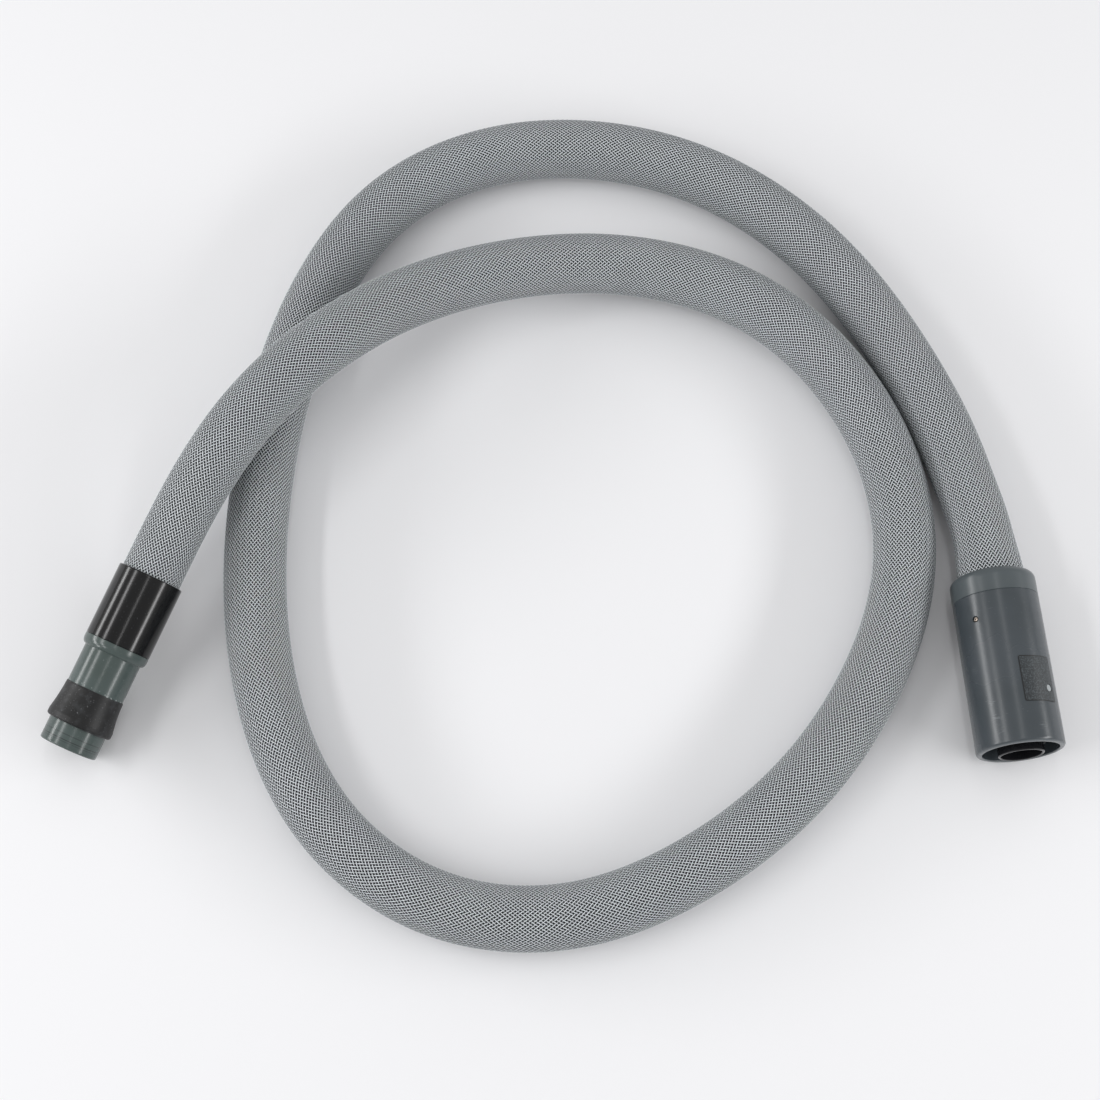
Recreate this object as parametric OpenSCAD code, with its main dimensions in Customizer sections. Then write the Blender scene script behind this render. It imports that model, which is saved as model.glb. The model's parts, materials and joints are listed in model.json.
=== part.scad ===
// Suction hose in a braided sleeve: a turning plug for the machine on one end
// and a turning push-fit nozzle for the tool on the other.
//
// The hose lies on the plane z = 0. The origin is on that plane, midway between the two end fittings.
// Each fitting is built along its own axis, from the edge where the hose goes in (z = 0) to its mouth.

/* [Hose] */
// Bore of the inner suction hose
hose_bore_d = 29; // [24:0.5:30]
// Wall of the inner suction hose
inner_hose_wall = 2.5; // [1.5:0.5:3]
// Air between the inner hose and the sleeve, along the hose
sleeve_slack = 1; // [0.4:0.1:1.5]
// Thickness of the braided sleeve
sleeve_wall = 1; // [0.6:0.1:1.5]

/* [Machine plug] */
// Length of the plug without the air tube
plug_len = 108; // [100:1:130]
// Length of the cap that shows behind the shell
cap_len = 15; // [12:1:19]
// Radius of the shoulder on the cap
cap_shoulder_r = 5; // [2:0.5:6]
// Wall of the cap's skirt, which the shell is screwed to
skirt_wall = 1.7; // [1.4:0.1:2.5]
// Wall of the shell at its rear edge
shell_wall = 2; // [1.8:0.1:4]
// Growth of the shell's radius from its rear edge to its mouth
shell_draft = 0.5; // [0:0.1:1.5]
// Height of the step in the shell that the air tube's flange rests on
shell_step = 1; // [0.6:0.1:2]
// Radius of the rounded lip of the mouth
mouth_lip_r = 2.2; // [0.8:0.1:2.6]
// Depth to which the hose goes into the plug
plug_grip = 46; // [44:1:52]
// Depth to which the sleeve goes into the plug
sleeve_grip = 20; // [18:1:24]
// Number of screws round the shell
screw_count = 3; // [2:1:4]
// Distance of the screws from the rear face of the cap
screw_z = 30.5; // [26:0.5:36]
// Direction of the first screw round the axis, from the right-hand side
screw_turn = 135; // [0:5:355]
// Diameter of a screw head
screw_head_d = 3.6; // [3:0.1:5]
// Diameter of a screw shank
screw_shank_d = 2; // [1.6:0.1:2.6]
// Depth of a screw head under the surface of the shell
screw_recess = 0.5; // [0.3:0.1:0.7]
// Diameter of the alignment dot
dot_d = 4; // [2:0.5:6]
// Distance of the alignment dot from the mouth
dot_back = 32; // [20:1:45]
// Direction of the alignment dot round the axis, from the right-hand side
dot_turn = 47; // [0:1:359]

/* [Swivel] */
// Thickness of the flange that the plug turns on
flange_t = 3; // [2:0.5:5]
// Thickness of a slide ring
slide_ring_t = 0.8; // [0.5:0.1:1.5]
// Length of the nose that reaches into the air tube or the nozzle
nose_len = 11; // [9:0.5:14]
// Length of each hose tail inside the hose
tail_len = 22; // [18:1:24]
// Wall of the two hose tails under their barbs
tail_wall = 1.7; // [1.4:0.1:2]
// Number of barbs on each hose tail
barb_count = 4; // [2:1:6]
// Height of a barb
barb_h = 0.7; // [0.4:0.1:1]
// Diameter of the O-rings' section
oring_d = 1.6; // [1.2:0.1:1.9]

/* [Air tube] */
// Outer diameter of the air tube in the mouth of the plug
air_tube_d = 27; // [24:0.5:32]
// Wall of the air tube
air_tube_wall = 1.5; // [1:0.1:2.2]
// Distance by which the air tube stands out of the mouth
air_tube_proud = 2; // [0:0.5:6]
// Thickness of the air tube's flange
air_flange_t = 4; // [2:0.5:6]
// Thickness of the face seal at the bottom of the annular socket
face_seal_t = 3; // [2:0.5:5]
// Number of locking lugs on the air tube
lug_count = 4; // [2:1:6]
// Height of a lug above the air tube
lug_h = 1.5; // [0.8:0.1:2.5]
// Width of a lug
lug_w = 3.5; // [2:0.5:6]
// Length of a lug along the air tube
lug_len = 4; // [2:0.5:8]
// Distance of the lugs from the rim of the air tube
lug_back = 6; // [4:0.5:14]

/* [Tool end] */
// Length of the black cuff
cuff_len = 45; // [42:1:60]
// Wall of the black cuff
cuff_wall = 1.5; // [1.2:0.1:3]
// Length of the hose in the cuff that the sleeve leaves bare
sleeve_short = 18; // [16:1:20]
// Depth to which the hose goes into the cuff
cuff_grip = 30; // [24:1:34]
// Length of the nozzle's shoulder that shows in front of the cuff
shoulder_len = 6.5; // [5:0.5:10]
// Length of the rounding at the front of the shoulder
shoulder_round = 4; // [2:0.5:4.5]
// Outer diameter of the nozzle tube
nozzle_d = 35; // [34:0.5:36]
// Wall of the nozzle tube
nozzle_wall = 2; // [1.7:0.1:2.6]
// Length of the nozzle tube in front of its shoulder
nozzle_len = 60.5; // [52:0.5:90]
// Length of the bare end of the nozzle in front of the rubber sleeve
bare_len = 14; // [8:0.5:24]
// Length of the rubber sleeve
rubber_len = 23; // [18:0.5:30]
// Wall of the rubber sleeve at its widest place
rubber_wall = 2.6; // [1.8:0.1:4]
// Depth of the groove that holds the rubber sleeve
rubber_seat = 0.3; // [0.2:0.1:0.6]
// Thickness of the snap ring
snap_ring_t = 1.4; // [1:0.1:2]

/* [Lay on the table] */
// Heading of the plug, turned from straight forwards to the right
plug_heading = 5; // [0:1:10]
// Heading of the nozzle, turned from straight forwards to the left
nozzle_heading = 25; // [20:1:30]
// Angle by which the nozzle points down at the table
nozzle_dip = 11; // [8:1:14]

/* [Clearances] */
// Gap between pieces that are pushed together and stay put
seat_gap = 0.1; // [0.05:0.05:0.2]
// Radial gap between pieces that turn in each other
turn_gap = 0.3; // [0.2:0.05:0.5]
// Gap round the hose where the plug turns about it
free_gap = 0.7; // [0.4:0.1:1.2]
// Gap between an O-ring and the bore that turns on it
seal_gap = 0.04; // [0.02:0.01:0.1]
// Gap between the faces of a slide ring and what runs on it
slide_gap = 0.1; // [0.05:0.05:0.2]

/* [Hidden] */
$fn = 96;
// Sides of the swept tubes, and the rings that both tubes share
SIDES = 12;
SHARED_RINGS = 38;
ROUND_STEPS = 6;

// Radii from the air way outwards
hose_bore_r = hose_bore_d / 2;
inner_hose_r = hose_bore_r + inner_hose_wall;
hose_r = inner_hose_r + sleeve_slack + sleeve_wall;
barb_r = hose_bore_r - seat_gap;
barb_root_r = barb_r - barb_h;
tail_bore_r = barb_root_r - tail_wall;
nose_r = barb_r + 0.2;

// Machine plug: the stack of radii round the hose
collar_wall = 1.5;
band_wall = 0.5;
collar_r = inner_hose_r + seat_gap / 2 + collar_wall;
flare_r = (collar_r + seat_gap / 2) / cos(180 / SIDES) + sleeve_wall;
band_r = flare_r + seat_gap / 2 + band_wall;
cap_hole_r = flare_r + free_gap;
cap_bore_r = band_r + free_gap + 0.2;
skirt_r = cap_bore_r + skirt_wall;
seat_bore_r = skirt_r + seat_gap;
shell_rear_r = seat_bore_r + shell_wall;
shell_mouth_r = shell_rear_r + shell_draft;
mouth_bore_r = seat_bore_r - shell_step;
air_tube_r = air_tube_d / 2;
socket_r = nose_r + turn_gap;
socket_outer_r = socket_r + air_tube_wall + 0.6;
lug_band_r = air_tube_r + 0.4;

// Machine plug: the stack along its axis
rear_ring_z = plug_grip - slide_gap - slide_ring_t;
front_ring_z = plug_grip + flange_t + slide_gap;
air_flange_z = front_ring_z + slide_ring_t;
shell_step_z = air_flange_z + air_flange_t;
nose_end_z = plug_grip + flange_t + nose_len;
socket_end_z = nose_end_z + 1;
swivel_oring_z = nose_end_z - 5;
neck_len = 7;
rim_z = plug_len + air_tube_proud;
lug_z = rim_z - lug_back - lug_len;
collar_len = 14.5;
collar_past_sleeve = 2;
collar_z = sleeve_grip + collar_past_sleeve - collar_len;
band_len = 7;
band_back = 3;
band_z = sleeve_grip - band_back - band_len;
clamp_len = 9;
clamp_back = 8;
clamp_z = plug_grip - clamp_back - clamp_len;
clamp_wall = 0.8;
screw_head_h = 0.8;
dot_z = plug_len - dot_back;
dot_seat = 0.5;

// Tool end: radii
nozzle_r = nozzle_d / 2;
nozzle_bore_r = nozzle_r - nozzle_wall;
tool_sleeve_r = inner_hose_r + 0.2 + sleeve_wall;
cuff_bore_r = max(tool_sleeve_r, nozzle_r + 0.7) + turn_gap;
cuff_r = cuff_bore_r + cuff_wall;
nozzle_rear_r = cuff_bore_r - turn_gap;
snap_depth = 1.3;
snap_inner_r = nozzle_rear_r - snap_depth;
snap_outer_r = cuff_bore_r + 0.5;
tool_nose_r = nozzle_bore_r - turn_gap;
rubber_r = nozzle_r + rubber_wall;

// Tool end: along its axis
tail_flange_t = 2.5;
wear_ring_z = cuff_grip + tail_flange_t + slide_gap;
wear_ring_t = 1.6;
nozzle_rear_z = wear_ring_z + wear_ring_t + slide_gap;
snap_z = (nozzle_rear_z + cuff_len) / 2 - snap_ring_t / 2;
shoulder_end_z = cuff_len + shoulder_len;
nozzle_end_z = shoulder_end_z + nozzle_len;
nozzle_edge_r = 1;
rubber_end_z = nozzle_end_z - bare_len;
rubber_z = rubber_end_z - rubber_len;
rubber_edge_r = 1.6;
tool_oring_z = nozzle_rear_z + 4;
sleeve_end_z = cuff_grip - sleeve_short;

// Places of the two fittings, at the edge where the hose goes in
plug_at = [266, 52.5, shell_mouth_r];
// Height of the nozzle's axis there at which a rounded edge further along just meets the table
function height_on(r, edge_r, z) = (r - edge_r) * cos(nozzle_dip) + edge_r + (z - edge_r) * sin(nozzle_dip);
tool_at = [
  -238, 49,
  max(height_on(nozzle_r, nozzle_edge_r, nozzle_end_z), height_on(rubber_r, rubber_edge_r, rubber_end_z))
];
plug_dir = [sin(plug_heading), -cos(plug_heading), 0];
tool_dir = [
  -sin(nozzle_heading) * cos(nozzle_dip),
  -cos(nozzle_heading) * cos(nozzle_dip),
  -sin(nozzle_dip)
];

// The hose's way over the table: x, y and the lift of its centre line in hose diameters.
// It leaves the nozzle, climbs over its own first turn, and lies flat from there to the plug.
ROUTE = [
  [-190, 140, 1.02],
  [-150, 185, 1.10],
  [-95, 230, 0.80],
  [-25, 260, 0.40],
  [50, 270, 0.10],
  [125, 250, 0],
  [180, 200, 0],
  [215, 130, 0],
  [220, 55, 0],
  [190, -20, 0],
  [145, -80, 0],
  [85, -125, 0],
  [15, -155, 0],
  [-65, -150, 0],
  [-130, -105, 0],
  [-165, -40, 0],
  [-180, 35, 0],
  [-180, 110, 0],
  [-170, 185, 0],
  [-145, 260, 0],
  [-105, 320, 0],
  [-35, 355, 0],
  [45, 355, 0],
  [115, 330, 0],
  [175, 280, 0],
  [215, 220, 0],
  [245, 155, 0.02],
  [255, 115, 0.08]
];
// Distance between the guide points that hold each end straight
END_PITCH = 40;
GUIDES = concat(
  [for (k = [1, 0, -1, -2]) tool_at + (cuff_grip + k * END_PITCH) * tool_dir],
  [for (p = ROUTE) [p.x, p.y, hose_r * (1 + 2 * p.z)]],
  [for (k = [-2, -1, 0, 1]) plug_at + (plug_grip + k * END_PITCH) * plug_dir]
);
LAST = len(GUIDES) - 3;

// ---- Curve and profile helpers ----

// Weights of the four guide points round place t of a stretch, for the point and for its direction
function point_weights(t) = [
  pow(1 - t, 3), 3 * pow(t, 3) - 6 * t * t + 4, -3 * pow(t, 3) + 3 * t * t + 3 * t + 1, pow(t, 3)
] / 6;
function slope_weights(t) = [-(1 - t) * (1 - t), 3 * t * t - 4 * t, -3 * t * t + 2 * t + 1, t * t] / 2;
function stretch(u) = min(floor(u), LAST - 1);
function guides_at(u) = [for (k = [0:3]) GUIDES[stretch(u) + k]];
function route_point(u) = point_weights(u - stretch(u)) * guides_at(u);
function route_dir(u) = let (d = slope_weights(u - stretch(u)) * guides_at(u)) d / norm(d);

// A ring of points square to the route at place u
function ring(u, r) =
  let (
    dir = route_dir(u),
    side = cross(dir, [0, 0, 1]) / norm(cross(dir, [0, 0, 1])),
    rise = cross(side, dir)
  )
  [for (k = [0:SIDES - 1]) route_point(u) + r * (cos(k * 360 / SIDES) * side + sin(k * 360 / SIDES) * rise)];

function flat(rows) = [for (row = rows) for (item = row) item];
function eased(t) = let (c = max(0, min(1, t))) c * c * (3 - 2 * c);

// Points of an arc about [x, y], for a profile
function arc(centre, r, from, to) =
  [for (i = [0:ROUND_STEPS]) let (a = from + (to - from) * i / ROUND_STEPS) centre + r * [cos(a), sin(a)]];

// A swept tube with a bore. Each station is [place on the route, outer radius, bore radius].
module swept_tube(stations) {
  n = len(stations);
  outer = flat([for (s = stations) ring(s[0], s[1])]);
  inner = flat([for (s = stations) ring(s[0], s[2])]);
  bore = n * SIDES;
  function wrap(k) = k % SIDES;
  sides = flat([
    for (i = [0:n - 2], k = [0:SIDES - 1])
      let (
        a = i * SIDES + k,
        b = i * SIDES + wrap(k + 1),
        c = a + SIDES,
        d = b + SIDES
      )
      [[a, b, d], [a, d, c], [bore + a, bore + d, bore + b], [bore + a, bore + c, bore + d]]
  ]);
  ends = flat([
    for (k = [0:SIDES - 1])
      let (
        a = k,
        b = wrap(k + 1),
        c = (n - 1) * SIDES + k,
        d = (n - 1) * SIDES + wrap(k + 1)
      )
      [[a, bore + b, b], [a, bore + a, bore + b], [c, d, bore + d], [c, bore + d, bore + c]]
  ]);
  polyhedron(points = concat(outer, inner), faces = concat(sides, ends));
}

// A ring or tube about the axis, from z to z + h
module tube(r, bore_r, z, h) {
  translate([0, 0, z])
    difference() {
      cylinder(r = r, h = h);
      translate([0, 0, -1]) cylinder(r = bore_r, h = h + 2);
    }
}

// An O-ring that seals in a bore, and the groove that holds it
module o_ring(bore_r, z)
  rotate_extrude() translate([bore_r - seal_gap - oring_d / 2, z]) circle(d = oring_d, $fn = 32);
module o_ring_groove(bore_r, z)
  tube(bore_r + 1, bore_r - 2 * seal_gap - oring_d, z - oring_d / 2 - 0.2, oring_d + 0.4);

// Profile points of a hose tail's barbs, which start at z
function barbs(z) =
  let (pitch = tail_len / barb_count)
  [for (i = [0:barb_count - 1]) each [[barb_root_r, z + i * pitch], [barb_r, z + (i + 0.85) * pitch]]];

module on_plug() translate(plug_at) rotate([90, 0, plug_heading]) children();
module on_tool() translate(tool_at) rotate([90 + nozzle_dip, 0, -nozzle_heading]) children();
module round_plug(count, first) for (i = [0:count - 1]) rotate([0, 0, first + i * 360 / count]) children();

// ---- Hose ----

// Place on the route of a depth in the cuff and in the plug
function in_cuff(z) = (cuff_grip - z) / END_PITCH;
function in_plug(z) = LAST - (plug_grip - z) / END_PITCH;
SHARED = [for (k = [0:SHARED_RINGS - 1]) 1 + k * (LAST - 2) / (SHARED_RINGS - 1)];

// The sleeve is drawn tight in front of both fittings, and opens over its collar where the plug begins
function sleeve_r(u) =
  tool_sleeve_r
  + (hose_r - tool_sleeve_r) * (eased((u - 1) / 3) - eased((u - LAST + 4) / 2))
  + (flare_r - tool_sleeve_r) * eased((u - LAST + 1.9) / 0.9);

module inner_hose() color([0.16, 0.17, 0.18]) {
  bore = hose_bore_r / cos(180 / SIDES);
  swept_tube([for (u = concat([0], SHARED, [LAST])) [u, inner_hose_r, bore]]);
}

module braided_sleeve() color([0.55, 0.57, 0.58]) {
  places = concat([in_cuff(sleeve_end_z)], SHARED, [in_plug(sleeve_grip)]);
  swept_tube([for (u = places) [u, sleeve_r(u), sleeve_r(u) - sleeve_wall]]);
}

// ---- Machine plug, pieces that stay with the hose ----

// Ring on the inner hose that the sleeve's end is drawn over
module sleeve_collar() color([0.2, 0.2, 0.21]) on_plug()
  tube(collar_r, collar_r - collar_wall, collar_z, collar_len);

module sleeve_band() color([0.7, 0.71, 0.72]) on_plug()
  tube(band_r, band_r - band_wall, band_z, band_len);

// Ear clamp over the hose on its tail
module hose_clamp() color([0.7, 0.71, 0.72]) on_plug() {
  clamp_r = inner_hose_r + seat_gap / 2 + clamp_wall;
  tube(clamp_r, clamp_r - clamp_wall, clamp_z, clamp_len);
  translate([clamp_r - clamp_wall / 2, -3, clamp_z + 0.5])
    difference() {
      cube([2.6, 6, clamp_len - 1]);
      translate([0.8, 0.8, -1]) cube([1, 4.4, clamp_len + 2]);
    }
}

// Barbed tail with the flange that the plug turns on and the nose that reaches into the air tube
module swivel_tail() color([0.14, 0.14, 0.15]) on_plug()
  difference() {
    rotate_extrude()
      polygon(concat(
        [[tail_bore_r, plug_grip - tail_len]],
        barbs(plug_grip - tail_len),
        [
          [barb_root_r, plug_grip],
          [skirt_r - 0.5, plug_grip],
          [skirt_r - 0.5, plug_grip + flange_t],
          [nose_r, plug_grip + flange_t],
          [nose_r, nose_end_z - 0.8],
          [nose_r - 0.8, nose_end_z],
          [tail_bore_r, nose_end_z]
        ]
      ));
    o_ring_groove(socket_r, swivel_oring_z);
  }

module swivel_o_ring() color([0.08, 0.08, 0.08]) on_plug() o_ring(socket_r, swivel_oring_z);

// ---- Machine plug, pieces that turn ----

hole_edge_r = cap_hole_r + 0.4;
shoulder_mid_r = shell_rear_r - cap_shoulder_r;
shoulder_start = -acos(max(0, hole_edge_r - shoulder_mid_r) / cap_shoulder_r);

module plug_cap() color([0.35, 0.39, 0.4]) on_plug()
  difference() {
    rotate_extrude()
      polygon(concat(
        shoulder_mid_r > hole_edge_r ? [[hole_edge_r, 0]] : [],
        arc([shoulder_mid_r, cap_shoulder_r], cap_shoulder_r, shoulder_start, 0),
        [
          [shell_rear_r, cap_len - 0.2],
          [shell_rear_r - 0.3, cap_len],
          [skirt_r, cap_len],
          [skirt_r, rear_ring_z],
          [cap_bore_r, rear_ring_z],
          [cap_bore_r, 3.5],
          [cap_hole_r, 3],
          [cap_hole_r, 0.7]
        ]
      ));
    round_plug(screw_count, screw_turn)
      translate([0, 0, screw_z]) rotate([0, 90, 0])
        cylinder(d = screw_shank_d + 0.1, h = skirt_r + 1, $fn = 32);
  }

// Radius of the shell's outside at a place along the plug
function shell_r(z) = shell_rear_r + shell_draft * (z - cap_len) / (plug_len - cap_len);
screw_seat_r = shell_r(screw_z) - screw_recess - screw_head_h;

module plug_shell() color([0.33, 0.36, 0.38]) on_plug()
  difference() {
    rotate_extrude()
      polygon(concat(
        [
          [seat_bore_r, cap_len],
          [shell_rear_r - 0.3, cap_len],
          [shell_rear_r, cap_len + 0.3]
        ],
        arc([shell_mouth_r - mouth_lip_r, plug_len - mouth_lip_r], mouth_lip_r, 0, 90),
        arc([mouth_bore_r + 0.7, plug_len - 0.7], 0.7, 90, 180),
        [
          [mouth_bore_r, shell_step_z],
          [seat_bore_r, shell_step_z]
        ]
      ));
    round_plug(screw_count, screw_turn)
      translate([0, 0, screw_z]) rotate([0, 90, 0]) {
        cylinder(d = screw_shank_d + 0.2, h = shell_rear_r + 2, $fn = 32);
        translate([0, 0, screw_seat_r]) cylinder(d = screw_head_d + 0.3, h = 5, $fn = 32);
      }
    // Shallow seat of the alignment dot
    rotate([0, 0, dot_turn]) translate([shell_r(dot_z) - dot_seat, 0, dot_z])
      rotate([0, 90, 0]) cylinder(d = dot_d + 0.1, h = 3, $fn = 32);
  }

// Small pale inlay that shows how far the plug is turned
module alignment_dot() color([0.85, 0.86, 0.86]) on_plug()
  rotate([0, 0, dot_turn]) translate([shell_r(dot_z) - dot_seat, 0, dot_z])
    rotate([0, 90, 0]) cylinder(d = dot_d, h = dot_seat - 0.05, $fn = 32);

module plug_screws() color([0.75, 0.75, 0.76]) on_plug()
  round_plug(screw_count, screw_turn)
    translate([0, 0, screw_z]) rotate([0, 90, 0]) {
      translate([0, 0, screw_seat_r])
        difference() {
          cylinder(d = screw_head_d, h = screw_head_h, $fn = 32);
          for (a = [0, 90]) rotate([0, 0, a]) translate([-0.9, -0.2, 0.35]) cube([1.8, 0.4, 1]);
        }
      translate([0, 0, cap_bore_r + 0.15])
        cylinder(d = screw_shank_d, h = screw_seat_r - cap_bore_r, $fn = 32);
    }

module rear_slide_ring() color([0.9, 0.9, 0.88]) on_plug()
  tube(skirt_r - 0.1, inner_hose_r + 1, rear_ring_z, slide_ring_t);

module front_slide_ring() color([0.9, 0.9, 0.88]) on_plug()
  tube(skirt_r - 0.1, nose_r + 0.9, front_ring_z, slide_ring_t);

// Air tube with its flange, its socket for the tail's nose and the band with the locking lugs
module air_tube() color([0.1, 0.1, 0.11]) on_plug() {
  rotate_extrude()
    polygon(
      [
        [socket_r, air_flange_z],
        [skirt_r, air_flange_z],
        [skirt_r, shell_step_z],
        [socket_outer_r, shell_step_z],
        [socket_outer_r, socket_end_z],
        [air_tube_r, socket_end_z + neck_len],
        [air_tube_r, lug_z - 1],
        [lug_band_r, lug_z - 0.6],
        [lug_band_r, lug_z + lug_len],
        [air_tube_r, lug_z + lug_len + 0.4],
        [air_tube_r, rim_z - 0.5],
        [air_tube_r - 0.5, rim_z],
        [air_tube_r - air_tube_wall + 0.4, rim_z],
        [air_tube_r - air_tube_wall, rim_z - 0.4],
        [air_tube_r - air_tube_wall, socket_end_z + neck_len - 2],
        [socket_r, socket_end_z]
      ]
    );
  round_plug(lug_count, 0)
    translate([air_tube_r - air_tube_wall / 2, -lug_w / 2, lug_z])
      cube([air_tube_wall / 2 + lug_h, lug_w, lug_len]);
}

module face_seal() color([0.09, 0.09, 0.09]) on_plug()
  tube(mouth_bore_r - seat_gap, socket_outer_r + 0.4, shell_step_z, face_seal_t);

// ---- Tool end, pieces that stay with the hose ----

module tool_cuff() color([0.05, 0.05, 0.055]) on_tool()
  difference() {
    rotate_extrude()
      polygon(concat(
        arc([cuff_bore_r + 0.3 * cuff_wall, 0.3 * cuff_wall], 0.3 * cuff_wall, 180, 270),
        arc([cuff_r - 0.5 * cuff_wall, 0.5 * cuff_wall], 0.5 * cuff_wall, -90, 0),
        [
          [cuff_r, cuff_len - 0.2],
          [cuff_r - 0.2, cuff_len],
          [cuff_bore_r, cuff_len]
        ]
      ));
    tube(snap_outer_r + seat_gap, cuff_bore_r - 1, snap_z - slide_gap, snap_ring_t + 2 * slide_gap);
  }

module cuff_tail() color([0.14, 0.14, 0.15]) on_tool()
  difference() {
    rotate_extrude()
      polygon(concat(
        [[tail_bore_r, cuff_grip - tail_len]],
        barbs(cuff_grip - tail_len),
        [
          [barb_root_r, cuff_grip],
          [cuff_bore_r - seat_gap, cuff_grip],
          [cuff_bore_r - seat_gap, cuff_grip + tail_flange_t],
          [tool_nose_r, cuff_grip + tail_flange_t],
          [tool_nose_r, cuff_grip + tail_flange_t + nose_len - 0.8],
          [tool_nose_r - 0.8, cuff_grip + tail_flange_t + nose_len],
          [tail_bore_r, cuff_grip + tail_flange_t + nose_len]
        ]
      ));
    o_ring_groove(nozzle_bore_r, tool_oring_z);
  }

module nozzle_o_ring() color([0.08, 0.08, 0.08]) on_tool() o_ring(nozzle_bore_r, tool_oring_z);

// Thin ring pressed round the hose on the cuff's tail
module crimp_ring() color([0.7, 0.71, 0.72]) on_tool()
  tube(inner_hose_r + seat_gap / 2 + clamp_wall, inner_hose_r + seat_gap / 2, sleeve_end_z + 3, 10);

// ---- Tool end, pieces that turn ----

module wear_ring() color([0.9, 0.9, 0.88]) on_tool()
  tube(nozzle_rear_r, tool_nose_r + turn_gap, wear_ring_z, wear_ring_t);

// Open ring that sits in a groove of the nozzle and runs in a groove of the cuff
module snap_ring() color([0.72, 0.72, 0.73]) on_tool()
  difference() {
    tube(snap_outer_r, snap_inner_r + seat_gap, snap_z, snap_ring_t);
    translate([0, -2.5, snap_z - 1]) cube([snap_outer_r + 1, 5, snap_ring_t + 2]);
  }

module nozzle_tube() color([0.34, 0.4, 0.39]) on_tool()
  difference() {
    rotate_extrude()
      polygon(concat(
        [
          [nozzle_bore_r, nozzle_rear_z],
          [nozzle_rear_r - 0.4, nozzle_rear_z],
          [nozzle_rear_r, nozzle_rear_z + 0.4],
          [nozzle_rear_r, cuff_len + slide_gap],
          [cuff_r - 0.2, cuff_len + slide_gap],
          [cuff_r, cuff_len + slide_gap + 0.2]
        ],
        [
          for (p = arc([0, 0], 1, 0, 90))
            [nozzle_r + 0.3 + p.x * (cuff_r - nozzle_r - 0.3), shoulder_end_z + (p.y - 1) * shoulder_round]
        ],
        [
          [nozzle_r, shoulder_end_z + 0.3],
          [nozzle_r, rubber_z],
          [nozzle_r - rubber_seat, rubber_z],
          [nozzle_r - rubber_seat, rubber_end_z],
          [nozzle_r, rubber_end_z]
        ],
        arc([nozzle_r - nozzle_edge_r, nozzle_end_z - nozzle_edge_r], nozzle_edge_r, 0, 90),
        [
          [nozzle_bore_r + 0.4, nozzle_end_z],
          [nozzle_bore_r, nozzle_end_z - 0.4]
        ]
      ));
    tube(nozzle_rear_r + 1, snap_inner_r, snap_z - slide_gap / 2, snap_ring_t + slide_gap);
  }

// Flared sleeve whose rear edge lies close on the nozzle tube
module rubber_sleeve() color([0.12, 0.12, 0.12]) on_tool()
  rotate_extrude()
    polygon(concat(
      [
        [nozzle_r - rubber_seat + seat_gap / 2, rubber_z + seat_gap],
        [nozzle_r + 0.3, rubber_z + seat_gap],
        [nozzle_r + 0.45, rubber_z + 1]
      ],
      [
        for (i = [1:5])
          let (t = i / 5)
          [nozzle_r + 0.45 + (rubber_wall - 0.45) * pow(t, 1.6), rubber_z + 1 + t * (rubber_len - 5)]
      ],
      arc([rubber_r - rubber_edge_r, rubber_end_z - seat_gap - rubber_edge_r], rubber_edge_r, 0, 90),
      [
        [nozzle_r + 0.5, rubber_end_z - seat_gap],
        [nozzle_r + 0.2, rubber_end_z - seat_gap - 0.3],
        [nozzle_r - rubber_seat + seat_gap / 2, rubber_end_z - seat_gap - 0.3]
      ]
    ));

inner_hose();
braided_sleeve();
sleeve_collar();
sleeve_band();
hose_clamp();
swivel_tail();
swivel_o_ring();
plug_cap();
plug_shell();
plug_screws();
rear_slide_ring();
front_slide_ring();
air_tube();
face_seal();
alignment_dot();
tool_cuff();
cuff_tail();
crimp_ring();
nozzle_o_ring();
wear_ring();
snap_ring();
nozzle_tube();
rubber_sleeve();
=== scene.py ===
# %% [markdown]
# # Vacuum hose with a braided sleeve
#
# A suction hose lies on a table in one and a half loose turns. One end carries a large grey plug
# that turns onto a machine, and the other a slim nozzle that pushes into a tool.
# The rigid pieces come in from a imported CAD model, in real sizes. This lesson gives them their
# finishes, weaves the braided sleeve with Geometry Nodes, and sets the table, the light and the
# camera.

import json
import math

import bpy
import numpy as np
from mathutils import Matrix, Vector


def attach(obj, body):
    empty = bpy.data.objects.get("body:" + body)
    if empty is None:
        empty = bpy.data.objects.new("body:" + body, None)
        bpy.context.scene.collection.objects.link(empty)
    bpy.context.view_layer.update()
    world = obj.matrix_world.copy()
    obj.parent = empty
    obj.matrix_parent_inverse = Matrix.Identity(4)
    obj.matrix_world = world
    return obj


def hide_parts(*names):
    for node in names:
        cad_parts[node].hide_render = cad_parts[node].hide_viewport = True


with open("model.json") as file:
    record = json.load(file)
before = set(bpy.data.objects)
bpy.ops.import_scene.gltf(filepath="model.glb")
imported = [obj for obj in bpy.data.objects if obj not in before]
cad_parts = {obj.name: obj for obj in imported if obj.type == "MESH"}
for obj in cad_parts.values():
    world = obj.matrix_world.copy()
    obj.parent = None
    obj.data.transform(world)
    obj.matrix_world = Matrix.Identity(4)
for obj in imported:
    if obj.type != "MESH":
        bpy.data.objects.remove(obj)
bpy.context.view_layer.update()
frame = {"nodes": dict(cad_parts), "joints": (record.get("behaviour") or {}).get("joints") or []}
MM = 0.001
scene = bpy.context.scene
scene.view_settings.view_transform = "Standard"


def linear(hex_colour):
    """The linear colour that Blender wants, from an sRGB hex value."""
    srgb = [int(hex_colour[i : i + 2], 16) / 255 for i in (1, 3, 5)]
    return [c / 12.92 if c <= 0.04045 else ((c + 0.055) / 1.055) ** 2.4 for c in srgb] + [1.0]


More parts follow.
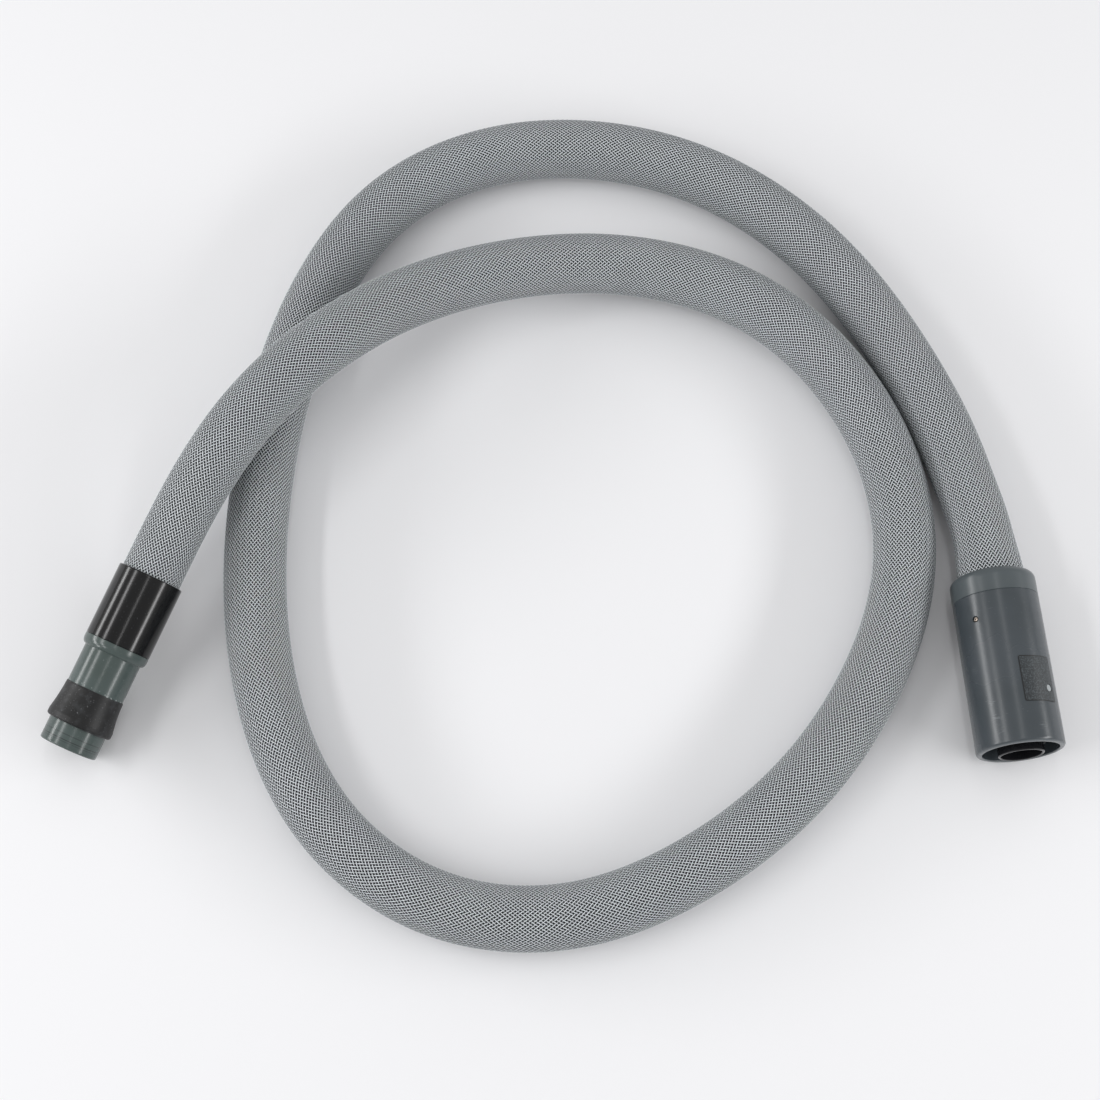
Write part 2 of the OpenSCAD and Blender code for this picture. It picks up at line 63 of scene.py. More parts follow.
def add(tree, kind, inputs=None, **settings):
    """Adds a node with its settings. Its inputs go by name or number, and take a value, an output
    or a node, which stands for its first output."""
    made = tree.nodes.new(kind)
    for name, value in settings.items():
        setattr(made, name, value)
    for name, value in (inputs or {}).items():
        if isinstance(value, bpy.types.Node):
            value = value.outputs[0]
        if isinstance(value, bpy.types.NodeSocket):
            tree.links.new(value, made.inputs[name])
        else:
            made.inputs[name].default_value = value
    return made


def placed(name, data):
    """A new object in the scene, at the origin."""
    made = bpy.data.objects.new(name, data)
    scene.collection.objects.link(made)
    return made


# %% [markdown]
# ## The camera
#
# The hose is seen from 70 degrees above the table, from 1.24 m away. That is nearly a plan view,
# tilted just enough to look into the mouth of the plug. The focal length is 2000 pixels in a frame
# of 1100, which is a short telephoto lens of 65 mm.

# %% Set the camera
LOOK_AT = Vector((0, 0.080, 0))
ELEVATION, DISTANCE = math.radians(70), 1.240
FILM_MM, FOCAL_PX, FRAME_PX = 36, 2000, 1100
lens = bpy.data.cameras.new("camera")
lens.sensor_width = FILM_MM
lens.lens = FILM_MM * FOCAL_PX / FRAME_PX
camera = placed("camera", lens)
camera.location = LOOK_AT + DISTANCE * Vector((0, -math.cos(ELEVATION), math.sin(ELEVATION)))
camera.rotation_euler = (math.pi / 2 - ELEVATION, 0, 0)
scene.camera = camera
print("camera at", [round(v, 3) for v in camera.location], "lens", round(lens.lens, 2), "mm")

# %% [markdown]
# ## The way the hose lies
#
# The hose has one fixed length and can't bend tightly, so its line is a smooth curve, led by guide
# points on the table. Each point has a lift, counted in hose diameters, for the place where the
# hose climbs over its own first turn. A cubic B-spline turns the points into a line whose bend
# changes gently. At each end, four guide points in a row hold it straight into its fitting.

# %% Draw the hose's centre line
HOSE_R = 19.0  # in mm
# x and y in mm, and the lift
GUIDES_MM = [
    (-190, 140, 1.02), (-150, 185, 1.10), (-95, 230, 0.80), (-25, 260, 0.40), (50, 270, 0.10),
    (125, 250, 0), (180, 200, 0), (215, 130, 0), (220, 55, 0), (190, -20, 0), (145, -80, 0),
    (85, -125, 0), (15, -155, 0), (-65, -150, 0), (-130, -105, 0), (-165, -40, 0), (-180, 35, 0),
    (-180, 110, 0), (-170, 185, 0), (-145, 260, 0), (-105, 320, 0), (-35, 355, 0), (45, 355, 0),
    (115, 330, 0), (175, 280, 0), (215, 220, 0), (245, 155, 0.02), (255, 115, 0.08),
]  # fmt: skip
# In mm: from one guide point to the next at the ends, and how far the hose reaches into its
# fittings past the place of each joint
END_PITCH, CUFF_GRIP, PLUG_GRIP = 40, 30, 46
joints = {j["name"]: j for j in frame["joints"]}
plug_at, plug_dir = (np.array(joints["plug_swivel"][k]) for k in ("pos_m", "axis"))
tool_at, tool_dir = (np.array(joints["nozzle_swivel"][k]) for k in ("pos_m", "axis"))
guides = np.array(
    [tool_at + (CUFF_GRIP + k * END_PITCH) * MM * tool_dir for k in (1, 0, -1, -2)]
    + [np.array([x, y, HOSE_R * (1 + 2 * lift)]) * MM for x, y, lift in GUIDES_MM]
    + [plug_at + (PLUG_GRIP + k * END_PITCH) * MM * plug_dir for k in (-2, -1, 0, 1)]
)
STRETCHES = len(guides) - 3


def on_route(u):
    """The point of the B-spline at place u, which counts the stretches between guide points."""
    i = min(int(u), STRETCHES - 1)
    t = u - i
    weights = [(1 - t) ** 3, 3 * t**3 - 6 * t**2 + 4, -3 * t**3 + 3 * t**2 + 3 * t + 1, t**3]
    return np.array(weights) / 6 @ guides[i : i + 4]


# The sleeve ends 18 mm short of the hose's own end in the cuff, and 26 mm short of it in the plug
SHORT_IN_CUFF, SHORT_IN_PLUG, LINE_POINTS = 18, 26, 480
places = np.linspace(
    SHORT_IN_CUFF / END_PITCH, STRETCHES - SHORT_IN_PLUG / END_PITCH, LINE_POINTS
)
line = np.array([on_route(u) for u in places])
sleeve_length = float(np.cumsum(np.linalg.norm(np.diff(line, axis=0), axis=1))[-1])
print("guide points:", len(guides), "and sleeve length", round(sleeve_length, 3), "m")

# %% Find the sleeve's radius along the line
# In mm: the radius where the sleeve is drawn tight, what it gains where it lies free, and what it
# gains over its collar
TIGHT_R, FREE_GAIN, COLLAR_GAIN = 18.2, 0.8, 2.056


def eased(t):
    """Runs from 0 to 1 while t does, with a soft start and a soft end."""
    t = min(max(t, 0.0), 1.0)
    return t * t * (3 - 2 * t)


def sleeve_radius(u):
    """The outer radius: tight in front of both fittings, and opened over its collar in the plug."""
    # Counted in stretches, it loosens from 1 to 4 after the start, tightens from 4 to 2 before the
    # end, and opens from 1.9 to 1 before the end
    free = eased((u - 1) / 3) - eased((u - STRETCHES + 4) / 2)
    opened = eased((u - STRETCHES + 1.9) / 0.9)
    return MM * (TIGHT_R + FREE_GAIN * free + COLLAR_GAIN * opened)


radii = np.array([sleeve_radius(u) for u in places])
print("sleeve radius", [round(r / MM, 2) for r in (radii.min(), radii.max())], "mm")

# %% [markdown]
# ## The core under the braid
#
# Between the strands one sees the dark suction hose. A plain dark tube just under the weave does
# for it, because nothing but small gaps shows it. The tube is a mesh of rings along the line, with
# frames carried from ring to ring so that it never twists. The suction hose runs on inside it, and
# ends over the tails in both fittings.


# %% Make tubes along the line
def carried_frames(points):
    """A sideways and an upward direction for each point, carried along without twist."""
    ahead = np.gradient(points, axis=0)
    ahead /= np.linalg.norm(ahead, axis=1)[:, None]
    side = np.cross(ahead[0], [0, 0, 1])
    sides = []
    for way in ahead:
        side = side - way * (side @ way)
        side /= np.linalg.norm(side)
        sides.append(side)
    sides = np.array(sides)
    return sides, np.cross(sides, ahead)


def tube_mesh(name, points, radii, bore, count):
    """A closed tube with a bore. radii and bore hold each ring's outer and inner radius, and count
    is the number of points round a ring."""
    sides, ups = carried_frames(points)
    turn = np.linspace(0, 2 * math.pi, count, endpoint=False)[None, :, None]
    ring = np.cos(turn) * sides[:, None] + np.sin(turn) * ups[:, None]
    outer = (points[:, None] + ring * radii[:, None, None]).reshape(-1, 3)
    inner = (points[:, None] + ring * bore[:, None, None]).reshape(-1, 3)
    n, half, faces = len(points), len(outer), []
    for i in range(n - 1):
        for k in range(count):
            a, b = i * count + k, i * count + (k + 1) % count
            faces.append((a, a + count, b + count, b))
            faces.append((half + a, half + b, half + b + count, half + a + count))
    for k in range(count):
        a, b = k, (k + 1) % count
        faces.append((a, b, half + b, half + a))
        a, b = a + (n - 1) * count, b + (n - 1) * count
        faces.append((b, a, half + a, half + b))
    mesh = bpy.data.meshes.new(name)
    mesh.from_pydata(np.concatenate([outer, inner]).tolist(), [], faces)
    mesh.polygons.foreach_set("use_smooth", [True] * len(faces))
    return placed(name, mesh)


# How thick a strand is, and how far it lies above or below the middle of the weave
STRAND_T, WEAVE = 0.34 * MM, 0.19 * MM
CORE_WALL, SUCTION_R, SUCTION_BORE_R = 0.3 * MM, 16.9 * MM, 14.5 * MM
RINGS = LINE_POINTS // 2
core_line = line[::2]
core_r = radii[::2] - STRAND_T - 2 * WEAVE
braid_core = tube_mesh("braid_core", core_line, core_r, core_r - CORE_WALL, count=32)
whole_line = np.array([on_route(u) for u in np.linspace(0, STRETCHES, RINGS)])
suction_r, suction_bore = np.full(RINGS, SUCTION_R), np.full(RINGS, SUCTION_BORE_R)
inner_tube = tube_mesh("suction_hose", whole_line, suction_r, suction_bore, count=24)
for tube in (braid_core, inner_tube):
    print(tube.name, len(tube.data.polygons), "faces")

# %% [markdown]
# ## The braid
#
# Fifty-six strands run round the hose one way and fifty-six the other, and each passes over two
# and under two. A picture of a weave would stay flat at the hose's outline, so each strand is real
# here. Where it goes is a rule, so Geometry Nodes build it. Each strand is a row of points, one for
# each crossing. With i for the strand, j for the crossing and h for the hand (+1 or -1), the turn
# round the hose is pi (2 i + h j) / n. Where two strands cross, 2 i + h j leaves the same rest for
# both when it is divided by 4. With 0 or 1 the strand of the first hand is on top, and with 2 or 3
# the other one.

# %% Put the hose's line and radius in a curve
line_data = bpy.data.curves.new("hose_line", "CURVE")
line_data.dimensions = "3D"
spline = line_data.splines.new("POLY")
spline.points.add(len(line) - 1)
for point, place, radius in zip(spline.points, line, radii):
    point.co = (*place, 1)
    point.radius = radius
hose_line = placed("hose_line", line_data)

STRANDS = 56
LAY = 158 * MM  # the length in which a strand goes once round the hose
CROSSING = LAY / (2 * STRANDS)
crossings = int(sleeve_length / CROSSING)
print("crossings along the hose:", crossings, "spaced", round(CROSSING / MM, 2), "mm")


# %% Number the points, and find each one's turn and lift
def tree_with(name, inputs):
    """A Geometry Nodes tree with named inputs of the given kinds, and what gives their values."""
    tree = bpy.data.node_groups.new(name, "GeometryNodeTree")
    tree.is_modifier = True
    for title, kind in inputs.items():
        tree.interface.new_socket(title, in_out="INPUT", socket_type="NodeSocket" + kind)
    tree.interface.new_socket("Geometry", in_out="OUTPUT", socket_type="NodeSocketGeometry")
    return tree, add(tree, "NodeGroupInput").outputs


weave, given = tree_with("braided strands", {
    "Hose line": "Object", "Strands": "Int", "Hand": "Float", "First crossing": "Int",
    "Last crossing": "Int", "Crossing spacing": "Float", "Strand width": "Float",
    "Strand thickness": "Float", "Weave height": "Float", "Yarn": "Material",
})  # fmt: skip
first, last, hand = (given[k] for k in ("First crossing", "Last crossing", "Hand"))
steps = add(weave, "ShaderNodeMath", {0: last, 1: first}, operation="SUBTRACT")
rings = add(weave, "ShaderNodeMath", {0: steps, 1: 1}, operation="ADD")
index = add(weave, "GeometryNodeInputIndex")
strand = add(weave, "ShaderNodeMath", {0: index, 1: rings}, operation="DIVIDE")
strand = add(weave, "ShaderNodeMath", {0: strand}, operation="FLOOR")
crossing = add(weave, "ShaderNodeMath", {0: index, 1: rings}, operation="MODULO")
crossing = add(weave, "ShaderNodeMath", {0: crossing, 1: first}, operation="ADD")
# beat is 2 i + h j
beat = add(weave, "ShaderNodeMath", {0: hand, 1: crossing}, operation="MULTIPLY")
beat = add(weave, "ShaderNodeMath", {0: strand, 1: 2, 2: beat}, operation="MULTIPLY_ADD")
turn = add(weave, "ShaderNodeMath", {0: beat, 1: math.pi}, operation="MULTIPLY")
turn = add(weave, "ShaderNodeMath", {0: turn, 1: given["Strands"]}, operation="DIVIDE")
# On top for 0 and 1 of each four, underneath for 2 and 3, and the other way round for the other
# hand. The limit of 1.5 stands between 1 and 2.
lift = add(weave, "ShaderNodeMath", {0: beat, 1: 4}, operation="FLOORED_MODULO")
lift = add(weave, "ShaderNodeMath", {0: lift, 1: 1.5}, operation="LESS_THAN")
lift = add(weave, "ShaderNodeMath", {0: lift, 1: 2, 2: -1}, operation="MULTIPLY_ADD")
lift = add(weave, "ShaderNodeMath", {0: lift, 1: hand}, operation="MULTIPLY")
lift = add(weave, "ShaderNodeMath", {0: lift, 1: given["Weave height"]}, operation="MULTIPLY")
print("weaving tree, numbering:", len(weave.nodes), "nodes")

# %% Place the points round the hose's line
hose_curve = add(weave, "GeometryNodeObjectInfo", {"Object": given["Hose line"]})
distance = {0: crossing, 1: given["Crossing spacing"]}
distance = add(weave, "ShaderNodeMath", distance, operation="MULTIPLY")
way = {
    "Curves": hose_curve.outputs["Geometry"],
    "Value": add(weave, "GeometryNodeInputRadius"),
    "Length": distance,
}
way = add(weave, "GeometryNodeSampleCurve", way, mode="LENGTH", use_all_curves=True).outputs
across = {0: way["Tangent"], 1: way["Normal"]}
across = add(weave, "ShaderNodeVectorMath", across, operation="CROSS_PRODUCT")
cosine = add(weave, "ShaderNodeMath", {0: turn}, operation="COSINE")
sine = add(weave, "ShaderNodeMath", {0: turn}, operation="SINE")
along_normal = {0: way["Normal"], "Scale": cosine}
along_normal = add(weave, "ShaderNodeVectorMath", along_normal, operation="SCALE")
along_other = add(weave, "ShaderNodeVectorMath", {0: across, "Scale": sine}, operation="SCALE")
outwards = {0: along_normal, 1: along_other}
outwards = add(weave, "ShaderNodeVectorMath", outwards, operation="ADD")

# The highest point of a strand that is on top lies at the sleeve's own radius
sunk = {0: given["Strand thickness"], 1: 0.5, 2: given["Weave height"]}
sunk = add(weave, "ShaderNodeMath", sunk, operation="MULTIPLY_ADD")
middle_r = add(weave, "ShaderNodeMath", {0: way["Value"], 1: lift}, operation="ADD")
middle_r = add(weave, "ShaderNodeMath", {0: middle_r, 1: sunk}, operation="SUBTRACT")
offset = add(weave, "ShaderNodeVectorMath", {0: outwards, "Scale": middle_r}, operation="SCALE")
strand_point = {0: way["Position"], 1: offset}
strand_point = add(weave, "ShaderNodeVectorMath", strand_point, operation="ADD")
count = add(weave, "ShaderNodeMath", {0: rings, 1: given["Strands"]}, operation="MULTIPLY")
cloud = add(weave, "GeometryNodePoints", {"Count": count, "Position": strand_point})

# on_top is 1 where the strand lies on top, and 0 where it runs underneath
# The yarn darkens the strand by this where it runs underneath, as a painted shade
on_top = {"Value": lift, "From Min": 0, "From Max": given["Weave height"]}
on_top = add(weave, "ShaderNodeMapRange", on_top)
notes = (
    ("outwards", outwards, "FLOAT_VECTOR"),
    ("strand", strand, "FLOAT"),
    ("on_top", on_top, "FLOAT"),
)
for name, value, kind in notes:
    noted = {"Geometry": cloud, "Name": name, "Value": value}
    cloud = add(weave, "GeometryNodeStoreNamedAttribute", noted, data_type=kind, domain="POINT")
strands = {"Points": cloud, "Curve Group ID": strand, "Weight": index}
strands = add(weave, "GeometryNodePointsToCurves", strands)
normal = {"Name": "outwards"}
normal = add(weave, "GeometryNodeInputNamedAttribute", normal, data_type="FLOAT_VECTOR")
facing = add(weave, "GeometryNodeSetCurveNormal", {"Curve": strands, "Normal": normal}, mode="FREE")
print("weaving tree, with the points placed:", len(weave.nodes), "nodes")

# %% Give each strand its flat, closed section and its map
factor = add(weave, "GeometryNodeSplineParameter").outputs["Factor"]
facing = {"Geometry": facing, "Name": "run", "Value": factor}
facing = add(weave, "GeometryNodeStoreNamedAttribute", facing, data_type="FLOAT", domain="POINT")
# upper is 1 on the strand's crest, 0.5 at its two edges and 0 underneath, so that both halves
# share one strip of the map. The section needs no more than these four corners.
# The yarn also uses upper for a painted highlight on the crest and a painted shade on the edges
upper = add(weave, "ShaderNodeMath", {0: factor, 1: 2, 2: -1}, operation="MULTIPLY_ADD")
upper = add(weave, "ShaderNodeMath", {0: upper}, operation="ABSOLUTE")
section = {"Resolution": 4, "Radius": 0.5}
section = add(weave, "GeometryNodeCurvePrimitiveCircle", section, mode="RADIUS")
section = {"Geometry": section, "Name": "upper", "Value": upper}
section = add(weave, "GeometryNodeStoreNamedAttribute", section, data_type="FLOAT", domain="POINT")
flatness = {0: given["Strand thickness"], 1: given["Strand width"], 2: 1}
flatness = add(weave, "ShaderNodeCombineXYZ", flatness)
section = add(weave, "GeometryNodeTransform", {"Geometry": section, "Scale": flatness})
cloth = {"Curve": facing, "Profile Curve": section, "Fill Caps": True}
cloth = add(weave, "GeometryNodeCurveToMesh", cloth)

# The map has a strip for each strand, with a tenth left free at both sides
run, own_strip, own_side = (
    add(weave, "GeometryNodeInputNamedAttribute", {"Name": name}, data_type="FLOAT")
    for name in ("run", "strand", "upper")
)
strip = add(weave, "ShaderNodeMath", {0: own_side, 1: 0.8, 2: 0.1}, operation="MULTIPLY_ADD")
strip = add(weave, "ShaderNodeMath", {0: own_strip, 1: strip}, operation="ADD")
strip = add(weave, "ShaderNodeMath", {0: strip, 1: given["Strands"]}, operation="DIVIDE")
strand_map = add(weave, "ShaderNodeCombineXYZ", {0: run, 1: strip})
cloth = {"Geometry": cloth, "Name": "OFBake", "Value": strand_map}
cloth = add(weave, "GeometryNodeStoreNamedAttribute", cloth, data_type="FLOAT2", domain="CORNER")
cloth = add(weave, "GeometryNodeSetShadeSmooth", {"Geometry": cloth})
cloth = add(weave, "GeometryNodeRealizeInstances", {"Geometry": cloth})
cloth = add(weave, "GeometryNodeSetMaterial", {"Geometry": cloth, "Material": given["Yarn"]})
add(weave, "NodeGroupOutput", {"Geometry": cloth})
print("weaving tree, whole:", len(weave.nodes), "nodes")

# %% [markdown]
# ## The yarn and the core
#
# The strands are flat bundles of bright polyester filaments. Their crests get a painted highlight,
# their flanks, where the filaments turn down into the weave, get a painted shade, and a strand gets
# a painted shade where it dips under another. The tree left both on each point, so the colour can
# follow them. Each strand's grey is a little off its neighbours', and slow patches run over all
# of them.
# The core is extruded soft plastic, nearly black and dull.


# %% Start a finish, and make the yarn
def finish(name, colour, roughness, **sockets):
    """A Principled material named for its finish, with its tree and its shader."""
    made = bpy.data.materials.new(name)
    made.use_nodes = True
    shader = made.node_tree.nodes["Principled BSDF"]
    shader.inputs["Base Color"].default_value = linear(colour)
    shader.inputs["Roughness"].default_value = roughness
    for socket, value in sockets.items():
        shader.inputs[socket.replace("_", " ")].default_value = value
    return made, made.node_tree, shader


def two_tone(t, mask, dark, dark_at, light, light_at):
    """A colour that goes from dark to light while the mask goes from dark_at to light_at."""
    ramp = add(t, "ShaderNodeValToRGB", {"Fac": mask})
    for stop, place, colour in zip(ramp.color_ramp.elements, (dark_at, light_at), (dark, light)):
        stop.position, stop.color = place, linear(colour)
    return ramp.outputs["Color"]


yarn, t, shader = finish("braided polyester yarn", "#c9cecf", 0.38, IOR=1.5)
crest, which, above = (
    add(t, "ShaderNodeAttribute", attribute_name=name).outputs["Fac"]
    for name in ("upper", "strand", "on_top")
)
# Painted highlight on each strand's crest and painted shade on its flanks
grey = two_tone(t, crest, "#3a4044", 0.6, "#f0f5f9", 0.86)
tint = add(t, "ShaderNodeTexWhiteNoise", {"W": which}, noise_dimensions="1D")
# Patches of about 22 mm
here = add(t, "ShaderNodeTexCoord").outputs["Object"]
patchy = add(t, "ShaderNodeTexNoise", {"Vector": here, "Scale": 45, "Detail": 3})
shade = add(t, "ShaderNodeMath", {0: tint, 1: patchy}, operation="ADD")
shade = {"Value": shade, "From Min": 0.3, "From Max": 1.5, "To Min": 0.86, "To Max": 1.0}
shade = add(t, "ShaderNodeMapRange", shade)
# Painted shade: a strand is a third darker where it dips under another
painted_dip_shade = {"Value": above, "From Min": 0.1, "From Max": 0.8, "To Min": 0.67, "To Max": 1.0}
painted_dip_shade = add(t, "ShaderNodeMapRange", painted_dip_shade)
shade = add(t, "ShaderNodeMath", {0: shade, 1: painted_dip_shade}, operation="MULTIPLY")
yarn_colour_and_painted_light = add(t, "ShaderNodeVectorMath", {0: grey, "Scale": shade}, operation="SCALE")
t.links.new(yarn_colour_and_painted_light.outputs[0], shader.inputs["Base Color"])
print("finish:", yarn.name)

# %% Make the core's dull plastic
core_black, t, shader = finish("extruded black hose plastic", "#0b0b0c", 0.8)
# Specks of about a millimetre
here = add(t, "ShaderNodeTexCoord").outputs["Object"]
dust = add(t, "ShaderNodeTexNoise", {"Vector": here, "Scale": 900, "Detail": 3})
t.links.new(two_tone(t, dust, "#070708", 0.3, "#121314", 0.75), shader.inputs["Base Color"])
print("finish:", core_black.name)


# %% Weave the braid in stretches
def made_by(tree, name, sizes):
    """Runs a node tree with the given sizes, and keeps what it makes as a plain mesh."""
    holder = placed(name + "_maker", bpy.data.meshes.new(name))
    modifier = holder.modifiers.new(tree.name, "NODES")
    modifier.node_group = tree
    for item in tree.interface.items_tree:
        if item.in_out == "INPUT":
            modifier[item.identifier] = sizes[item.name]
    graph = bpy.context.evaluated_depsgraph_get()
    result = bpy.data.meshes.new_from_object(
        holder.evaluated_get(graph), preserve_all_data_layers=True, depsgraph=graph
    )
    bpy.data.objects.remove(holder)
    return placed(name, result)


# Eight pieces, each with under 200,000 triangles
PARTS = 4
STRAND_W = 0.80 * MM
cuts = [round(k * crossings / PARTS) for k in range(PARTS + 1)]
braids = []
for hand, side in ((1.0, "right"), (-1.0, "left")):
    for k in range(PARTS):
        piece = made_by(weave, f"braid_{side}_{k + 1}", {
            "Hose line": hose_line, "Strands": STRANDS, "Hand": hand,
            "First crossing": cuts[k], "Last crossing": cuts[k + 1], "Crossing spacing": CROSSING,
            "Strand width": STRAND_W, "Strand thickness": STRAND_T, "Weave height": WEAVE,
            "Yarn": yarn,
        })  # fmt: skip
        braids.append(piece)
        count = sum(len(p.vertices) - 2 for p in piece.data.polygons)
        print(piece.name, len(piece.data.vertices), "points", count, "triangles")
bpy.data.objects.remove(hose_line)

for piece in (braid_core, inner_tube):
    piece.data.materials.append(core_black)
for piece in (braid_core, inner_tube, *braids):
    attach(piece, "hose")
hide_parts("braided_sleeve")
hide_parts("inner_hose")
print("hose:", 2 + len(braids), "pieces, declared as one cord")

# %% [markdown]
# ## The finishes of the fittings
#
# The plug is moulded from slate-grey ABS with a satin skin, the cuff is glossy black PVC, the
# nozzle is a greener grey ABS, and the sleeve on it is soft black rubber. Their patterns read
# Object coordinates, because the CAD pieces have no map. A Mapping node turns these to a fitting's
# own axis, so that a turned ring or a scuff runs round or along the fitting.


# %% Find the frames of the two fittings
def fitting_frame(at, way):
    """The matrix of a fitting's own frame: z along its axis and x level."""
    z = Vector(way)
    x = Vector((-z.y, z.x, 0)).normalized()
    return Matrix.Translation(Vector(at)) @ Matrix((x, z.cross(x), z)).transposed().to_4x4()


plug_frame, tool_frame = fitting_frame(plug_at, plug_dir), fitting_frame(tool_at, tool_dir)
print("plug's level direction:", [round(v, 3) for v in plug_frame.col[0][:3]])

# %% Make the plain moulded finishes
finishes = {"core": core_black}
# In mm: the size of the slow clouds in a moulded colour, and the depth of its grain
CLOUD, GRAIN_DEPTH = 40, 0.1


def moulded(key, name, dark, light, roughness, grain, bump, **sockets):
    """Moulded plastic: a slightly uneven colour, a fine grain (in mm) and a gloss that wanders."""
    made, t, shader = finish(name, dark, roughness, **sockets)
    here = add(t, "ShaderNodeTexCoord").outputs["Object"]
    cloudy = {"Vector": here, "Scale": 1 / (CLOUD * MM), "Detail": 3}
    cloudy = add(t, "ShaderNodeTexNoise", cloudy)
    t.links.new(two_tone(t, cloudy, dark, 0.3, light, 0.7), shader.inputs["Base Color"])
    gloss = {"Value": cloudy, "To Min": roughness - 0.04, "To Max": roughness + 0.05}
    gloss = add(t, "ShaderNodeMapRange", gloss)
    t.links.new(gloss.outputs["Result"], shader.inputs["Roughness"])
    grains = {"Vector": here, "Scale": 1 / (grain * MM), "Detail": 2}
    grains = add(t, "ShaderNodeTexNoise", grains)
    relief = {"Height": grains, "Strength": bump, "Distance": GRAIN_DEPTH * MM}
    relief = add(t, "ShaderNodeBump", relief)
    t.links.new(relief.outputs["Normal"], shader.inputs["Normal"])
    finishes[key] = made
    print("finish:", made.name)
    return t, shader


# The cap comes from an eroded mould, and its grain spreads each highlight into a soft stripe. The
# air tube comes from a polished one and mirrors the lamps. Real mould grain is finer than a pixel,
# so each grain is drawn as coarse as it needs to show.
moulded("cap", "satin moulded ABS, grey-green", "#495053", "#51585b", 0.28, grain=0.6, bump=0.10)
moulded("air_tube", "gloss moulded ABS, black", "#151517", "#1b1b1e", 0.16, grain=0.8, bump=0.04)
# Acetal slides well. It is milky and half matt from the lathe, as is the inlay that marks the plug.
moulded("slide", "turned white acetal", "#dcdcd6", "#e4e4de", 0.35, grain=0.5, bump=0.05)
moulded("pale", "pale moulded inlay", "#959b9d", "#a4a9ab", 0.45, grain=0.5, bump=0.05)
# Clean rubber swallows nearly all light
moulded("seal", "moulded black rubber, clean", "#131314", "#1a1a1b", 0.6, grain=0.5, bump=0.2)


# %% Make the tools for wear and dust
def own_place(t, frame_of):
    """Places on a fitting in its own frame, in metres."""
    here = add(t, "ShaderNodeTexCoord").outputs["Object"]
    turned = {"Vector": here, "Location": frame_of.translation, "Rotation": frame_of.to_euler()}
    return add(t, "ShaderNodeMapping", turned, vector_type="TEXTURE").outputs["Vector"]


def over(t, shader, colour, mask, *factors):
    """Lays a colour over what the shader has, by the mask times all the factors."""
    for factor in factors:
        mask = add(t, "ShaderNodeMath", {0: mask, 1: factor}, operation="MULTIPLY")
    under = shader.inputs["Base Color"].links[0].from_socket
    mixed = add(t, "ShaderNodeMix", {0: mask, 6: under, 7: linear(colour)}, data_type="RGBA")
    t.links.new(mixed.outputs[2], shader.inputs["Base Color"])


def specks(t, where, size, spread, soft=0.04):
    """A mask of small marks: noise above a threshold. size is in mm, and spread is how far the
    threshold lies below the noise's top. 0.03 covers less than a hundredth of the surface, 0.1 a
    fifteenth and 0.2 two fifths."""
    noise = {"Vector": where, "Scale": 1 / (size * MM), "Detail": 4}
    noise = add(t, "ShaderNodeTexNoise", noise)
    # Hardly any of the noise is above 0.72
    edge = 0.72 - spread
    return add(t, "ShaderNodeMapRange", {"Value": noise, "From Min": edge, "From Max": edge + soft})


def near(t, where, spot, reach):
    """A mask that is 1 at a spot and falls to 0 at reach mm from it."""
    away = add(t, "ShaderNodeVectorMath", {0: where, 1: spot}, operation="DISTANCE")
    fading = {"Value": away.outputs["Value"], "From Max": reach * MM, "To Min": 1, "To Max": 0}
    return add(t, "ShaderNodeMapRange", fading)


print("tools: own_place, over, specks, near")

# %% [markdown]
# ## The plug's shell
#
# The shell is satin ABS that has been put down many times. Rubbed spots beside the plate and near
# the mouth have gone pale, in short marks that run round the shell, and the rounded lip is painted
# a little lighter all round, as a painted highlight. Each spot is a mask that fades from its
# middle, times stretched noise.

# %% Make the shell's plastic, with its scuffs and the painted highlight on its lip
t, shader = moulded(
    "shell", "satin moulded ABS, slate grey", "#3b4145", "#43494e", 0.26, grain=0.6, bump=0.10
)
# In mm: the shell's radius, and the two places along the plug between which its lip gets a painted
# highlight
SHELL_R, LIP = 25.8, (107.0, 108.0)
# Each scuff's place along the plug in mm, its turn in degrees, its reach in mm and its strength
SCUFFS = (
    (81, 131, 3.5, 0.3), (92, 128, 4, 0.3), (99, 126, 3.5, 0.3), (60, 150, 3.5, 0.2),
    (99, 70, 3.5, 0.2),
)  # fmt: skip
where = own_place(t, plug_frame)
drawn = {"Vector": where, "Scale": (0.25, 0.25, 1.3)}
drawn = add(t, "ShaderNodeMapping", drawn).outputs["Vector"]
for z, degrees, reach, strength in SCUFFS:
    a = math.radians(degrees)
    spot = [v * MM for v in (SHELL_R * math.cos(a), SHELL_R * math.sin(a), z)]
    rubbed = specks(t, drawn, size=0.8, spread=0.22, soft=0.22)
    over(t, shader, "#aab0b3", near(t, where, spot, reach), rubbed, strength)
over(t, shader, "#757c80", specks(t, drawn, size=0.9, spread=0.03), 0.35)
# A painted highlight: the lip is painted lighter all round
along_plug = add(t, "ShaderNodeSeparateXYZ", {"Vector": where}).outputs["Z"]
painted_lip_highlight = {"Value": along_plug, "From Min": LIP[0] * MM, "From Max": LIP[1] * MM}
over(t, shader, "#a9aeb1", add(t, "ShaderNodeMapRange", painted_lip_highlight), 0.22)
print("scuffs on the shell:", len(SCUFFS))

# %% [markdown]
# ## The tool end
#
# The cuff's PVC is polished, so that its highlights are narrow and hard, and dust shows on it as
# fine specks. The nozzle is satin ABS again, with rings scored into its end by the tools that it
# was pushed into, and a chipped edge where it meets the rubber. The rubber sleeve is handled most:
# it is dull, cloudy with dust, and has some coarser grains in it.

